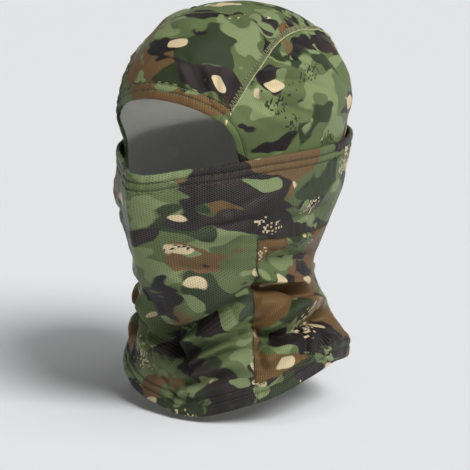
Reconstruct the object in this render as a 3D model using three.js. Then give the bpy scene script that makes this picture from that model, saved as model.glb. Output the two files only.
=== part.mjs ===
// A knitted hood with a pull-down face cover (a balaclava), as it stands when worn.
// Millimetres, +Z up, the face looks along -Y and the wearer's left is +X.
// The origin is the inside of the crown, where the hood hangs on the head.
//
// Every piece of cloth lies on one form. A place on the form is an angle round the
// head (0 at the face, 90 degrees at the left ear) and a reach: the distance along
// the cloth from the crown. Thickness is built along the form's normal.

import * as THREE from 'three';

// ---- driving dimensions -------------------------------------------------------
const DOME_HEIGHT = 100;               // crown to the head's widest ring
const DOME_REACH = DOME_HEIGHT * Math.PI / 2;
const DOME_POWER = 2.25;               // 2 is a plain ellipse, more is squarer
const NOSE_SPREAD = 14;                // degrees over which the nose lifts the cloth

// Below the widest ring: [drop from the ring, size]
const HALF_WIDTH = [[0, 81], [35, 81], [75, 70], [110, 62], [140, 75], [165, 88], [190, 98], [215, 104]];
const FRONT_DEPTH = [[0, 105], [30, 105], [60, 103], [95, 99], [125, 84], [150, 68], [175, 69], [215, 78]];
const BACK_DEPTH = [[0, 114], [30, 97], [70, 79], [110, 67], [140, 75], [170, 86], [215, 98]];
const NOSE_LIFT = [[0, 0], [15, 14], [35, 18], [60, 16], [85, 10], [110, 6], [135, 0], [215, 0]];

const CLOTH = 1.3;                     // a knit panel, with the air it holds
const GAP = 0.35;                      // left between pieces that touch
const SEAM_GAP = 1.2;                  // between two panels under a flatlock seam
const THREAD_GAP = 0.8;                // under a row of thread, where the cloth curves
const COLUMNS = 60;                    // steps round a full ring

// Where each layer lies, measured outwards from the form
const HOOD_LEVEL = 0;
const HOOD_TUCK = 7.4;                 // how far the hood sinks in under the cover
const TUCK_FROM = 138;
const TUCK_TO = 158;
const NECK_LEVEL = -3.8;
const COVER_LEVEL = -0.6;

const HEM_WIDTH = 14;                  // brow hem and cover hem
const HEM_THICKNESS = 3;
const FOLD_WALL = 0.75;                // one layer of a folded hem
const ELASTIC_WIDTH = 8;
const ELASTIC_THICKNESS = 0.6;
const BOTTOM_HEM_WIDTH = 15;
const BOTTOM_HEM_THICKNESS = 2.4;
const EDGE_HEM_THICKNESS = 2;
const STITCH_WIDTH = 1;
const STITCH_THICKNESS = 0.5;
const SEAM_WIDTH = 6;                  // a flatlock seam's ladder of thread
const SEAM_THICKNESS = 0.5;

const HOOD_BOTTOM = 262;               // the hood's hidden lower edge, as a reach
const COVER_BOTTOM = 205;              // where the cover's cloth starts to gather
const CROSS_SEAM = 227;                // top of the back neck panel
const NECK_SEAM_ANGLE = 48;            // side seams of the front neck panel
const BACK_STRIP_FROM = 168;           // below here the crown strip widens again

// ---- outlines -------------------------------------------------------------------
// Half width of the crown strip against its place from brow (-) to nape (+)
const STRIP_HALF_WIDTH = [[-120, 75], [-90, 77], [-60, 76], [-30, 72], [0, 69], [30, 62],
  [60, 50], [100, 38], [130, 31], [BACK_STRIP_FROM, 28], [262, 44]];
// Reach of the cover's top edge and of the bottom edge, against the angle
const COVER_TOP = [[0, 177], [8, 174], [16, 171], [30, 168], [60, 163], [100, 162], [130, 160], [180, 157]];
const BOTTOM_EDGE = [[0, 371], [25, 367], [50, 357], [75, 342], [100, 335], [180, 336]];
// The face opening's side edge, and the line where its hem ends: [angle, reach]
const FACE_EDGE = [[32, 141.5], [36, 150], [40, 166], [42, 190], [42, 215], [38, 240], [32, HOOD_BOTTOM]];
const FACE_EDGE_INNER = [[34.3, 135.5], [40, 148], [44, 162], [47, 188], [47, 215], [43.5, 240],
  [38, HOOD_BOTTOM]];

const rad = THREE.MathUtils.degToRad;
const deg = THREE.MathUtils.radToDeg;
const mix = THREE.MathUtils.lerp;
const smooth = THREE.MathUtils.smoothstep;

// A smooth curve through [x, value] points that never overshoots them.
function along(points, x) {
  const last = points.length - 1;
  if (x <= points[0][0]) return points[0][1];
  if (x >= points[last][0]) return points[last][1];
  const k = points.findIndex((p) => p[0] > x) - 1;
  const slope = (i) => (points[i + 1][1] - points[i][1]) / (points[i + 1][0] - points[i][0]);
  const tangent = (i) => {
    if (i === 0) return slope(0);
    if (i === last) return slope(last - 1);
    const before = slope(i - 1);
    const after = slope(i);
    if (before * after <= 0) return 0;
    const h0 = points[i][0] - points[i - 1][0];
    const h1 = points[i + 1][0] - points[i][0];
    return (h0 + h1) * 3 / ((2 * h1 + h0) / before + (h1 + 2 * h0) / after);
  };
  const h = points[k + 1][0] - points[k][0];
  const u = (x - points[k][0]) / h;
  const u2 = u * u;
  const u3 = u2 * u;
  return (2 * u3 - 3 * u2 + 1) * points[k][1] + (u3 - 2 * u2 + u) * h * tangent(k)
    + (-2 * u3 + 3 * u2) * points[k + 1][1] + (u3 - u2) * h * tangent(k + 1);
}

// A place on the form is kept flat, as if the hood were pressed out from its crown:
// x to the wearer's left, y towards the nape.
const place = (angle, reach) => new THREE.Vector2(reach * Math.sin(rad(angle)), -reach * Math.cos(rad(angle)));
const angleOf = (flat) => deg(Math.atan2(flat.x, -flat.y));

// The form: a squarish dome down to the widest ring, then a neck of elliptical rings.
function formPoint(flat) {
  const reach = flat.length();
  const turn = Math.atan2(flat.x, -flat.y);
  const lift = Math.max(0, 1 - reach / DOME_REACH) * Math.PI / 2;
  const ring = Math.cos(lift) ** (2 / DOME_POWER);
  const drop = Math.max(0, reach - DOME_REACH);
  const z = drop > 0 ? -DOME_HEIGHT - drop : DOME_HEIGHT * (Math.sin(lift) ** (2 / DOME_POWER) - 1);
  const depth = along(Math.cos(turn) > 0 ? FRONT_DEPTH : BACK_DEPTH, drop);
  const oval = 1 / Math.hypot(Math.sin(turn) / along(HALF_WIDTH, drop), Math.cos(turn) / depth);
  const nose = along(NOSE_LIFT, drop) * Math.exp(-((deg(turn) / NOSE_SPREAD) ** 2));
  const radius = ring * (oval + nose);
  return new THREE.Vector3(radius * Math.sin(turn), -radius * Math.cos(turn), z);
}

function formNormal(flat) {
  const step = 0.5;
  const shift = (x, y) => formPoint(new THREE.Vector2(flat.x + x, flat.y + y));
  const across = shift(step, 0).sub(shift(-step, 0));
  const down = shift(0, step).sub(shift(0, -step));
  return across.cross(down).normalize();
}

const cache = new Map();

function onForm(flat, out) {
  const key = `${flat.x.toFixed(4)} ${flat.y.toFixed(4)}`;
  if (!cache.has(key)) cache.set(key, [formPoint(flat), formNormal(flat)]);
  const [point, normal] = cache.get(key);
  return point.clone().addScaledVector(normal, out);
}

const hoodLevel = (flat) => HOOD_LEVEL - HOOD_TUCK * smooth(flat.length(), TUCK_FROM, TUCK_TO);

// ---- solids ---------------------------------------------------------------------
function solid(points, faces) {
  let volume = 0;
  for (const [a, b, c] of faces) volume += points[a].dot(points[b].clone().cross(points[c]));
  const turned = volume < 0 ? faces.map(([a, b, c]) => [a, c, b]) : faces;
  const geometry = new THREE.BufferGeometry().setFromPoints(points);
  geometry.setIndex(turned.flat());
  geometry.computeVertexNormals();
  return geometry;
}

// A panel of cloth: at(u, v) gives a flat place, and its two faces lie at level(flat)
// and one thickness further out. keep(i, j) may leave cells of the grid out.
function panel(columns, rows, at, level, { thickness = CLOTH, closed = false, keep = () => true } = {}) {
  const points = [];
  const seen = new Map();
  const corner = (i, j, side) => {
    const column = closed ? i % columns : i;
    const key = `${column},${j},${side}`;
    if (!seen.has(key)) {
      const flat = at(column / columns, j / rows);
      seen.set(key, points.length);
      points.push(onForm(flat, level(flat) + side * thickness));
    }
    return seen.get(key);
  };
  const kept = (i, j) => {
    const column = closed ? (i + columns) % columns : i;
    return column >= 0 && column < columns && j >= 0 && j < rows && keep(column, j);
  };
  const faces = [];
  const quad = (a, b, c, d) => faces.push([a, b, c], [a, c, d]);
  for (let i = 0; i < columns; i += 1) {
    for (let j = 0; j < rows; j += 1) {
      if (!kept(i, j)) continue;
      quad(corner(i, j, 1), corner(i, j + 1, 1), corner(i + 1, j + 1, 1), corner(i + 1, j, 1));
      quad(corner(i, j, 0), corner(i + 1, j, 0), corner(i + 1, j + 1, 0), corner(i, j + 1, 0));
      const rim = (i0, j0, i1, j1) => quad(corner(i0, j0, 0), corner(i1, j1, 0), corner(i1, j1, 1), corner(i0, j0, 1));
      if (!kept(i - 1, j)) rim(i, j, i, j + 1);
      if (!kept(i + 1, j)) rim(i + 1, j + 1, i + 1, j);
      if (!kept(i, j - 1)) rim(i + 1, j, i, j);
      if (!kept(i, j + 1)) rim(i, j + 1, i + 1, j + 1);
    }
  }
  return solid(points, faces);
}

// A band: a closed profile of [across, out] points carried along at(t, across).
function band(steps, at, profile, level, closed = false) {
  const points = [];
  const size = profile.length;
  const rings = closed ? steps : steps + 1;
  for (let i = 0; i < rings; i += 1) {
    for (const [across, out] of profile) {
      const flat = at(i / steps, across);
      points.push(onForm(flat, level(at(i / steps, 0)) + out));
    }
  }
  const faces = [];
  for (let i = 0; i < steps; i += 1) {
    const next = (i + 1) % rings;
    for (let k = 0; k < size; k += 1) {
      const l = (k + 1) % size;
      const [a, b, c, d] = [i * size + k, i * size + l, next * size + l, next * size + k];
      faces.push([a, b, c], [a, c, d]);
    }
  }
  if (!closed) {
    const outline = profile.map(([across, out]) => new THREE.Vector2(across, out));
    const end = steps * size;
    const turn = THREE.ShapeUtils.area(outline);
    for (const [a, b, c] of THREE.ShapeUtils.triangulateShape(outline, [])) {
      const sameWay = THREE.ShapeUtils.area([outline[a], outline[b], outline[c]]) * turn > 0;
      const [p, q, r] = sameWay ? [a, b, c] : [a, c, b];
      faces.push([p, r, q], [end + p, end + q, end + r]);
    }
  }
  return solid(points, faces);
}

const flatProfile = (from, to, out, thickness) => [[from, out], [to, out], [to, out + thickness], [from, out + thickness]];

// Cloth folded over at across = 0, open along its other edge.
const foldProfile = (width, out) => {
  const top = out + HEM_THICKNESS;
  const inner = out + FOLD_WALL;
  const outer = top - FOLD_WALL;
  return [[0, out], [width, out], [width, inner], [FOLD_WALL, inner],
    [FOLD_WALL, outer], [width, outer], [width, top], [0, top]];
};

const elasticProfile = (out) => {
  const middle = out + (HEM_THICKNESS - ELASTIC_THICKNESS) / 2;
  return flatProfile(2, 2 + ELASTIC_WIDTH, middle, ELASTIC_THICKNESS);
};

const stitchProfile = (across, out) => flatProfile(
  across - STITCH_WIDTH / 2, across + STITCH_WIDTH / 2, out + THREAD_GAP, STITCH_THICKNESS);

// ---- the pieces -----------------------------------------------------------------
const mask = new THREE.Group();

function add(name, geometry, color, roughness = 0.85) {
  const material = new THREE.MeshStandardMaterial({ color, roughness, metalness: 0 });
  const mesh = new THREE.Mesh(geometry, material);
  mesh.name = name;
  mask.add(mesh);
}

const LEAF = 0x5e7348;
const MOSS = 0x74864f;
const BARK = 0x6e5a40;
const SHADE = 0x3f4a35;
const THREAD = 0x4a553a;
const ELASTIC = 0xd8d6cc;

// The crown strip: from the brow hem over the head to the nape.
const browLine = (x) => -124 + 4 * (x / 75) ** 2;
const stripEdge = (y) => along(STRIP_HALF_WIDTH, y);
const stripAt = (u, v) => {
  const side = 2 * u - 1;
  const y = mix(browLine(75 * side) + HEM_WIDTH + GAP, HOOD_BOTTOM, v);
  return new THREE.Vector2(side * (stripEdge(y) - SEAM_GAP / 2), y);
};
add('crown_panel', panel(12, 26, stripAt, hoodLevel), MOSS);

// The side panels: a patch between the crown strip, the face edge hem, the hidden
// lower edge and the low back edge of the strip.
const patch = (top, bottom, left, right) => (u, v) => {
  const ruled = top(u).multiplyScalar(1 - v).addScaledVector(bottom(u), v);
  const crossed = left(v).multiplyScalar(1 - u).addScaledVector(right(v), u);
  const corners = left(0).multiplyScalar((1 - u) * (1 - v)).addScaledVector(right(0), u * (1 - v))
    .addScaledVector(left(1), (1 - u) * v).addScaledVector(right(1), u * v);
  return ruled.add(crossed).sub(corners);
};
const onEdge = (edge, v) => {
  const spaced = (k) => edge.map((point, i) => [i / (edge.length - 1), point[k]]);
  return new THREE.Vector2(along(spaced(0), v), along(spaced(1), v));
};
const seamFlat = (y) => new THREE.Vector2(stripEdge(y) + SEAM_GAP / 2, y);
const seamTop = (u) => {
  const flat = seamFlat(mix(-112, BACK_STRIP_FROM, u));
  return new THREE.Vector2(angleOf(flat), flat.length());
};
const lowEdge = (u) => new THREE.Vector2(mix(FACE_EDGE_INNER.at(-1)[0], seamTop(1).x, u), HOOD_BOTTOM);
const faceSide = (v) => (v === 0 ? seamTop(0) : onEdge(FACE_EDGE_INNER, v));
const backSide = (v) => new THREE.Vector2(seamTop(1).x, mix(seamTop(1).y, HOOD_BOTTOM, v));
const sidePatch = patch(seamTop, lowEdge, faceSide, backSide);

const crownSeamAt = (side) => (t, across) => {
  const y = mix(-106, HOOD_BOTTOM - 4, t);
  return new THREE.Vector2(side * (stripEdge(y) + across), y);
};

for (const [name, side] of [['left', 1], ['right', -1]]) {
  add(`side_panel_${name}`, panel(20, 12, (u, v) => {
    const { x: angle, y: reach } = sidePatch(u, v);
    return place(side * angle, reach);
  }, hoodLevel), LEAF);

  add(`crown_seam_${name}`, band(36, crownSeamAt(side),
    flatProfile(-SEAM_WIDTH / 2, SEAM_WIDTH / 2, CLOTH + THREAD_GAP, SEAM_THICKNESS), hoodLevel), THREAD);

  add(`face_edge_hem_${name}`, panel(14, 1, (u, v) => {
    const edge = onEdge(FACE_EDGE, u).lerp(u === 0 ? seamTop(0) : onEdge(FACE_EDGE_INNER, u), v * 0.95);
    return place(side * edge.x, edge.y);
  }, hoodLevel, { thickness: EDGE_HEM_THICKNESS }), LEAF);
}

// The brow hem, its elastic and its two rows of stitches.
const BROW_HALF = 74.3;
const browAt = (t, across) => {
  const x = mix(-BROW_HALF, BROW_HALF, t);
  return new THREE.Vector2(x, browLine(x) + across);
};
const BROW_OUT = -0.6;
add('brow_hem', band(20, browAt, foldProfile(HEM_WIDTH, BROW_OUT), hoodLevel), MOSS);
add('brow_elastic', band(20, browAt, elasticProfile(BROW_OUT), hoodLevel), ELASTIC);
for (const [name, across] of [['lower', 6.5], ['upper', 12]]) {
  add(`brow_stitch_${name}`, band(20, browAt, stitchProfile(across, BROW_OUT + HEM_THICKNESS), hoodLevel), THREAD);
}

// The face cover: a ring with a folded top hem, which slides down off the nose.
const ringAngle = (u) => 360 * u;
const aroundHead = (outline, u) => along(outline, Math.abs(THREE.MathUtils.euclideanModulo(ringAngle(u) + 180, 360) - 180));
const coverLevel = () => COVER_LEVEL;
const HEM_OUT = -0.7;
const coverHemAt = (t, across) => place(ringAngle(t), aroundHead(COVER_TOP, t) + across);
add('cover_hem', band(COLUMNS, coverHemAt, foldProfile(HEM_WIDTH, HEM_OUT), coverLevel, true), LEAF);
add('cover_elastic', band(COLUMNS, coverHemAt, elasticProfile(HEM_OUT), coverLevel, true), ELASTIC);
for (const [name, across] of [['upper', 6.5], ['lower', 12]]) {
  add(`cover_stitch_${name}`,
    band(COLUMNS, coverHemAt, stitchProfile(across, HEM_OUT + HEM_THICKNESS), coverLevel, true), THREAD);
}
add('face_cover_panel', panel(COLUMNS, 3, (u, v) => {
  const top = aroundHead(COVER_TOP, u) + HEM_WIDTH + GAP;
  return place(ringAngle(u), mix(top, COVER_BOTTOM, v));
}, coverLevel, { closed: true }), LEAF);
add('cover_back_seam', band(4, (t, across) => place(180 + deg(across / 100), mix(178, COVER_BOTTOM - 2, t)),
  flatProfile(-SEAM_WIDTH / 2, SEAM_WIDTH / 2, CLOTH + THREAD_GAP, SEAM_THICKNESS), coverLevel), THREAD);

// The neck: a front panel whose arms run right round the back under the cover,
// and a back panel below the arms.
const neckLevel = () => NECK_LEVEL;
const ARM_ROWS = 2;
const FRONT_ROWS = 9;
const hemLine = (u) => aroundHead(BOTTOM_EDGE, u) - BOTTOM_HEM_WIDTH - GAP;
const inFront = (column) => Math.min(column, COLUMNS - 1 - column) < NECK_SEAM_ANGLE * COLUMNS / 360;
add('neck_front_panel', panel(COLUMNS, ARM_ROWS + FRONT_ROWS, (u, v) => {
  const row = v * (ARM_ROWS + FRONT_ROWS);
  const inArms = row <= ARM_ROWS;
  const reach = inArms
    ? mix(COVER_BOTTOM + GAP, CROSS_SEAM, row / ARM_ROWS)
    : mix(CROSS_SEAM, hemLine(u), (row - ARM_ROWS) / FRONT_ROWS);
  return place(ringAngle(u), reach);
}, neckLevel, { closed: true, keep: (i, j) => j < ARM_ROWS || inFront(i) }), LEAF);

const backShare = (u) => mix(NECK_SEAM_ANGLE + 0.4, 360 - NECK_SEAM_ANGLE - 0.4, u) / 360;
add('neck_back_panel', panel(44, 8, (u, v) => {
  const share = backShare(u);
  return place(ringAngle(share), mix(CROSS_SEAM + GAP, hemLine(share), v));
}, neckLevel), BARK);

const SEAM_OUT = CLOTH + THREAD_GAP;
add('cross_seam', band(44, (t, across) => place(ringAngle(backShare(t)), CROSS_SEAM + across),
  flatProfile(-1.5, 1.5, SEAM_OUT, SEAM_THICKNESS), neckLevel), THREAD);
for (const [name, side] of [['left', 1], ['right', -1]]) {
  add(`neck_seam_${name}`, band(18, (t, across) => {
    const reach = mix(CROSS_SEAM + 3, hemLine(NECK_SEAM_ANGLE / 360) - 1, t);
    return place(side * (NECK_SEAM_ANGLE + across), reach);
  }, flatProfile(-1.2, 1.2, SEAM_OUT, SEAM_THICKNESS), neckLevel), THREAD);
}

// The bottom hem and its two rows of stitches.
const bottomAt = (t, across) => place(ringAngle(t), aroundHead(BOTTOM_EDGE, t) - across);
const BOTTOM_OUT = -0.4;
add('bottom_hem', band(COLUMNS, bottomAt,
  flatProfile(0, BOTTOM_HEM_WIDTH, BOTTOM_OUT, BOTTOM_HEM_THICKNESS), neckLevel, true), SHADE);
for (const [name, across] of [['lower', 7.5], ['upper', 13]]) {
  add(`bottom_stitch_${name}`, band(COLUMNS, bottomAt,
    stitchProfile(across, BOTTOM_OUT + BOTTOM_HEM_THICKNESS), neckLevel, true), THREAD);
}

export default mask;
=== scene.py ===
# %% [markdown]
# # A knitted hood with a pull-down face cover
#
# The object is one garment sewn from a few panels of printed knit: a strip over the head, two sides,
# a face cover whose top hem holds an elastic, and a neck that flares over the shoulders. It stands here
# as if worn, with nobody in it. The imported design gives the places; this script gives the cloth.

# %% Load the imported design
import bpy
import numpy as np
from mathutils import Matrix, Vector


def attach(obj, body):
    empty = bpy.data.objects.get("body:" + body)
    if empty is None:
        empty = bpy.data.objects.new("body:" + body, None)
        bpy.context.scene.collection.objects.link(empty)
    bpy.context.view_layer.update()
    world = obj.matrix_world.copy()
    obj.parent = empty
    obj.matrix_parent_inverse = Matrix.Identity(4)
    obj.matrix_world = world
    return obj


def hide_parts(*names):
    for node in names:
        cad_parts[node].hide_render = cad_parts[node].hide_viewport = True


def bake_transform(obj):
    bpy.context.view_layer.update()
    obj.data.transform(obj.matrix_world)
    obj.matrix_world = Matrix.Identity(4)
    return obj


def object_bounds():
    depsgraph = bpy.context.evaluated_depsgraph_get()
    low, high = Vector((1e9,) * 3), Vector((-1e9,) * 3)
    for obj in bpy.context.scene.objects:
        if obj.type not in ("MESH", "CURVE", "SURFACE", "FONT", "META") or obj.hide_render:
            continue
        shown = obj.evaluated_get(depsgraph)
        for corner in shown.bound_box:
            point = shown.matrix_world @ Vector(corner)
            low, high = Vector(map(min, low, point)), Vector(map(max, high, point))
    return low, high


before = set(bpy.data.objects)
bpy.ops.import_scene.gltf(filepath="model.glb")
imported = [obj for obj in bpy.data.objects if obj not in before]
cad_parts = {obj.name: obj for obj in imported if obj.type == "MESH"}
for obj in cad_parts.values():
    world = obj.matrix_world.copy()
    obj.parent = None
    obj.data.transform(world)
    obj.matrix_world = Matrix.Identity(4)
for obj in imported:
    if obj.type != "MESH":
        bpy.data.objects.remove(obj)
cad_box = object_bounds()
print("design box, mm:", [[round(1000 * x) for x in corner] for corner in cad_box])

# %% [markdown]
# ## Units and the flat plan
#
# Sewing sizes are easiest to read in millimetres, so the cloth is worked out in them and turned into
# metres when a mesh is made. A place on the cloth is an angle round the head (0 at the face, 90 degrees
# at the left ear) and a reach, the distance along the cloth from the crown. Laid flat, with the crown
# in the middle, that is an ordinary map with x to the wearer's left and y towards the nape.

# %% The flat plan
MM = 0.001
HEAD_RADIUS = 85   # mean radius, mm: turns an angle into a length of cloth
HANDS = (("left", 1), ("right", -1))


def flat(angle, reach):
    """x = reach * sin(angle), y = -reach * cos(angle); the angle is in degrees."""
    turn = np.radians(angle)
    return np.stack([reach * np.sin(turn), -reach * np.cos(turn)], -1)


def polar(plan):
    """The way back: angle in degrees from -180 to 180, and reach."""
    return np.degrees(np.arctan2(plan[..., 0], -plan[..., 1])), np.hypot(plan[..., 0], plan[..., 1])


def fade(low, high, x):
    """0 below low, 1 above high, and 3t^2 - 2t^3 between, so that it starts and ends level."""
    t = np.clip((x - low) / (high - low), 0, 1)
    return t * t * (3 - 2 * t)


def through(points, x):
    """A cubic through [place, value] points. Each inner slope is the harmonic mean of the slopes on its
    two sides, and 0 at a peak, so the curve never swings past its points."""
    at, value = np.array(points, float).T
    step = np.diff(at)
    slope = np.diff(value) / step
    before, after = slope[:-1], slope[1:]
    same_way = before * after > 0
    one = np.where(same_way, before, 1.0)
    two = np.where(same_way, after, 1.0)
    total = step[:-1] + step[1:]
    mean = 3 * total / ((step[1:] + total) / one + (step[:-1] + total) / two)
    tangent = np.concatenate([slope[:1], np.where(same_way, mean, 0.0), slope[-1:]])
    x = np.clip(x, at[0], at[-1])
    k = np.clip(np.searchsorted(at, x, side="right") - 1, 0, len(at) - 2)
    t = (x - at[k]) / step[k]
    rise = (2 * t**3 - 3 * t**2 + 1) * value[k] + (3 * t**2 - 2 * t**3) * value[k + 1]
    return rise + step[k] * ((t**3 - 2 * t**2 + t) * tangent[k] + (t**3 - t**2) * tangent[k + 1])


def along_points(points, t):
    """Each column of given points by that cubic, t from 0 at the first point to 1 at the last."""
    points = np.array(points, float)
    k = np.linspace(0, 1, len(points))
    return np.stack([through(np.stack([k, column], 1), t) for column in points.T], -1)


# %% [markdown]
# ## The form
#
# Stretch cloth takes the shape of what it covers. The head is a squarish dome down to its widest ring.
# Below it every level is an oval, with the nose as a soft bump that fades to the sides. The same
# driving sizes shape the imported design, so the cloth falls where the design says.

# %% The form under the cloth
DOME_HEIGHT = 100
DOME_REACH = DOME_HEIGHT * np.pi / 2
DOME_POWER = 2.25
NOSE_SPREAD = 14
HALF_WIDTH = [[0, 81], [35, 81], [75, 70], [110, 62], [140, 75], [165, 88], [190, 98], [215, 104]]
FRONT_DEPTH = [[0, 105], [30, 105], [60, 103], [95, 99], [125, 84], [150, 68], [175, 69], [215, 78]]
BACK_DEPTH = [[0, 114], [30, 97], [70, 79], [110, 67], [140, 75], [170, 86], [215, 98]]
NOSE_LIFT = [[0, 0], [15, 14], [35, 18], [60, 16], [85, 10], [110, 6], [135, 0], [215, 0]]


def form(plan):
    """Dome: ring size cos(lift)^(2/p) and height sin(lift)^(2/p). Below it: r = 1 / hypot(sin/width,
    cos/depth), plus the nose, which is a bell curve of the angle."""
    angle, reach = polar(plan)
    turn = np.radians(angle)
    lift = np.clip(1 - reach / DOME_REACH, 0, 1) * np.pi / 2
    ring = np.cos(lift) ** (2 / DOME_POWER)
    drop = np.maximum(reach - DOME_REACH, 0)
    z = DOME_HEIGHT * (np.sin(lift) ** (2 / DOME_POWER) - 1) - drop
    depth = np.where(np.cos(turn) > 0, through(FRONT_DEPTH, drop), through(BACK_DEPTH, drop))
    oval = 1 / np.hypot(np.sin(turn) / through(HALF_WIDTH, drop), np.cos(turn) / depth)
    nose = through(NOSE_LIFT, drop) * np.exp(-((angle / NOSE_SPREAD) ** 2))
    radius = ring * (oval + nose)
    return np.stack([radius * np.sin(turn), -radius * np.cos(turn), z], -1)


def unit(v):
    """Each vector divided by its length."""
    return v / np.maximum(np.linalg.norm(v, axis=-1, keepdims=True), 1e-9)


def outward(plan, step=0.5):
    """The form's normal: the cross product of its slopes along x and y of the flat plan."""
    right, back = np.array([step, 0]), np.array([0, step])
    return unit(np.cross(form(plan + right) - form(plan - right), form(plan + back) - form(plan - back)))


# %% [markdown]
# ## Folds
#
# A fold is a line drawn on the cloth, with a width and a height: positive lifts a ridge, negative
# sinks a valley. Real folds come in pairs, a round ridge over a sharper valley, because spare cloth
# has to go somewhere. The lines fade at their ends, and a point takes the sum of the folds near it.

# %% Folds as lines on the cloth
LINE_STEPS = 26


def line_distance(points, line):
    """For each point, its distance to a polyline, and how far along it, 0 to 1, the nearest place is."""
    nearest = np.full(points.shape[:-1], 1e9)
    share = np.zeros(points.shape[:-1])
    for k in range(len(line) - 1):
        side = line[k + 1] - line[k]
        t = np.clip(((points - line[k]) @ side) / (side @ side), 0, 1)
        away = np.linalg.norm(points - line[k] - t[..., None] * side, axis=-1)
        closer = away < nearest
        nearest = np.where(closer, away, nearest)
        share = np.where(closer, (k + t) / (len(line) - 1), share)
    return nearest, share


def fold_height(points, folds):
    """Sum over folds of height * exp(-(distance / width)^p), with p 2 for a round ridge and 1.5 for a
    sharper valley. A fold starts narrow where it is pinched, widens by half along its line and dies away
    slowly. It is only worked out inside the box it can reach."""
    flat_points = points.reshape(-1, 3)
    total = np.zeros(len(flat_points))
    for width, height, line in folds:
        path = form(flat(*along_points(line, np.linspace(0, 1, LINE_STEPS)).T))
        margin = 2.6 * width
        near = np.all((flat_points > path.min(0) - margin) & (flat_points < path.max(0) + margin), 1)
        away, share = line_distance(flat_points[near], path)
        ends = fade(0, 0.16, share) * fade(0, 0.42, 1 - share)
        power = 2.0 if height > 0 else 1.5
        total[near] += height * np.exp(-((away / (width * (0.8 + 0.45 * share))) ** power)) * ends
    return total.reshape(points.shape[:-1])


def mirrored(folds, scale=1.0):
    """The same lines on the wearer's right, a little weaker or stronger."""
    return [(w, h * scale, [(-a, s) for a, s in line]) for w, h, line in folds]


# Each fold: width, height, then (angle, reach) points.
BROW_GATHERS = [
    (4, -1.5, [(27, 131), (25, 121), (23, 112), (19, 98), (14, 84)]),
    (4, 1.4, [(28, 130), (27, 120), (25, 108), (22, 92)]),
    (3.5, -1.6, [(30, 128), (28.5, 118), (28, 107), (27, 92)]),
    (4, 1.5, [(31, 130), (31, 119), (31, 107), (32, 92)]),
    (3.5, -1.6, [(33, 131), (34, 120), (36, 108), (40, 96)]),
    (4, 1.0, [(18, 118), (12, 102), (6, 90)]),
    (4, -1.2, [(22, 120), (17, 104), (11, 90), (4, 78)]),
]
CROWN_FOLDS = [
    (5, -3.0, [(54, 22), (58, 38), (64, 52), (66, 62), (60, 74), (54, 82)]),
    (6, 2.6, [(84, 34), (86, 46), (82, 58), (72, 68)]),
    (6, 2.4, [(40, 30), (46, 46), (50, 60), (48, 74)]),
    (6, -1.6, [(-8, 72), (2, 62), (12, 60), (24, 68)]),
    (8, 1.5, [(-10, 62), (2, 52), (16, 50), (30, 60)]),
    (6, -1.8, [(112, 50), (122, 62), (132, 66)]),
]
SIDE_HOOD_FOLDS = [
    (4.5, 2.6, [(47, 102), (56, 101), (68, 99), (82, 100), (98, 106)]),
    (4, -3.2, [(46, 106), (54, 110), (66, 110), (80, 113), (98, 122), (112, 134)]),
    (5, 2.4, [(45, 114), (54, 118), (66, 119), (80, 124), (96, 134)]),
    (4, -2.6, [(44, 122), (53, 127), (66, 131), (84, 140), (100, 149)]),
    (5, 1.6, [(44, 132), (56, 138), (72, 145), (88, 152)]),
    (5, -2.4, [(60, 82), (68, 86), (80, 90), (92, 98), (104, 110)]),
    (6, 2.0, [(78, 78), (90, 86), (102, 98), (112, 112), (118, 126)]),
    (5, -2.0, [(104, 78), (114, 92), (122, 110), (126, 130)]),
    (7, 1.8, [(122, 82), (130, 100), (134, 120), (138, 140)]),
    (6, -1.8, [(140, 92), (148, 110), (152, 130), (154, 148)]),
    (7, 1.5, [(158, 90), (164, 112), (168, 134), (168, 150)]),
]
CHIN_FOLDS = [
    (13, 5.0, [(-16, 288), (0, 290), (14, 283), (27, 273), (40, 262), (50, 254)]),
    (4.5, -8.0, [(-12, 313), (2, 307), (13, 300), (23, 293), (31, 286), (39, 279), (48, 270)]),
    (6, -8.5, [(-22, 262), (-18, 280), (-15, 300), (-10, 318), (-4, 334), (2, 345)]),
    (6, 4.5, [(-31, 280), (-28, 302), (-22, 322), (-12, 342)]),
    (5, -4.0, [(-42, 296), (-38, 312), (-30, 328), (-18, 344)]),
    (5.5, 5.5, [(-4, 318), (8, 310), (20, 302), (31, 295), (42, 288), (54, 284)]),
    (4, 3.0, [(16, 312), (28, 305), (38, 300), (48, 298)]),
    (4.5, -6.5, [(-3, 335), (6, 326), (17, 318), (28, 311), (44, 305), (52, 304)]),
    (5.5, 5.0, [(4, 335), (12, 328), (22, 320), (36, 312), (50, 310)]),
    (4, -5.0, [(2, 341), (15, 331), (26, 323), (36, 318), (50, 317)]),
    (6, 4.0, [(6, 342), (18, 336), (32, 329), (50, 326)]),
    (4.5, -3.5, [(-4, 348), (14, 346), (28, 340), (46, 334)]),
    (6, 3.0, [(-4, 355), (12, 353), (26, 347), (44, 341)]),
    (2.6, -1.6, [(-14, 352), (-4, 357), (8, 360), (20, 358)]),
    (2.4, -1.4, [(-18, 345), (-10, 351), (0, 353), (10, 354)]),
]
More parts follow.
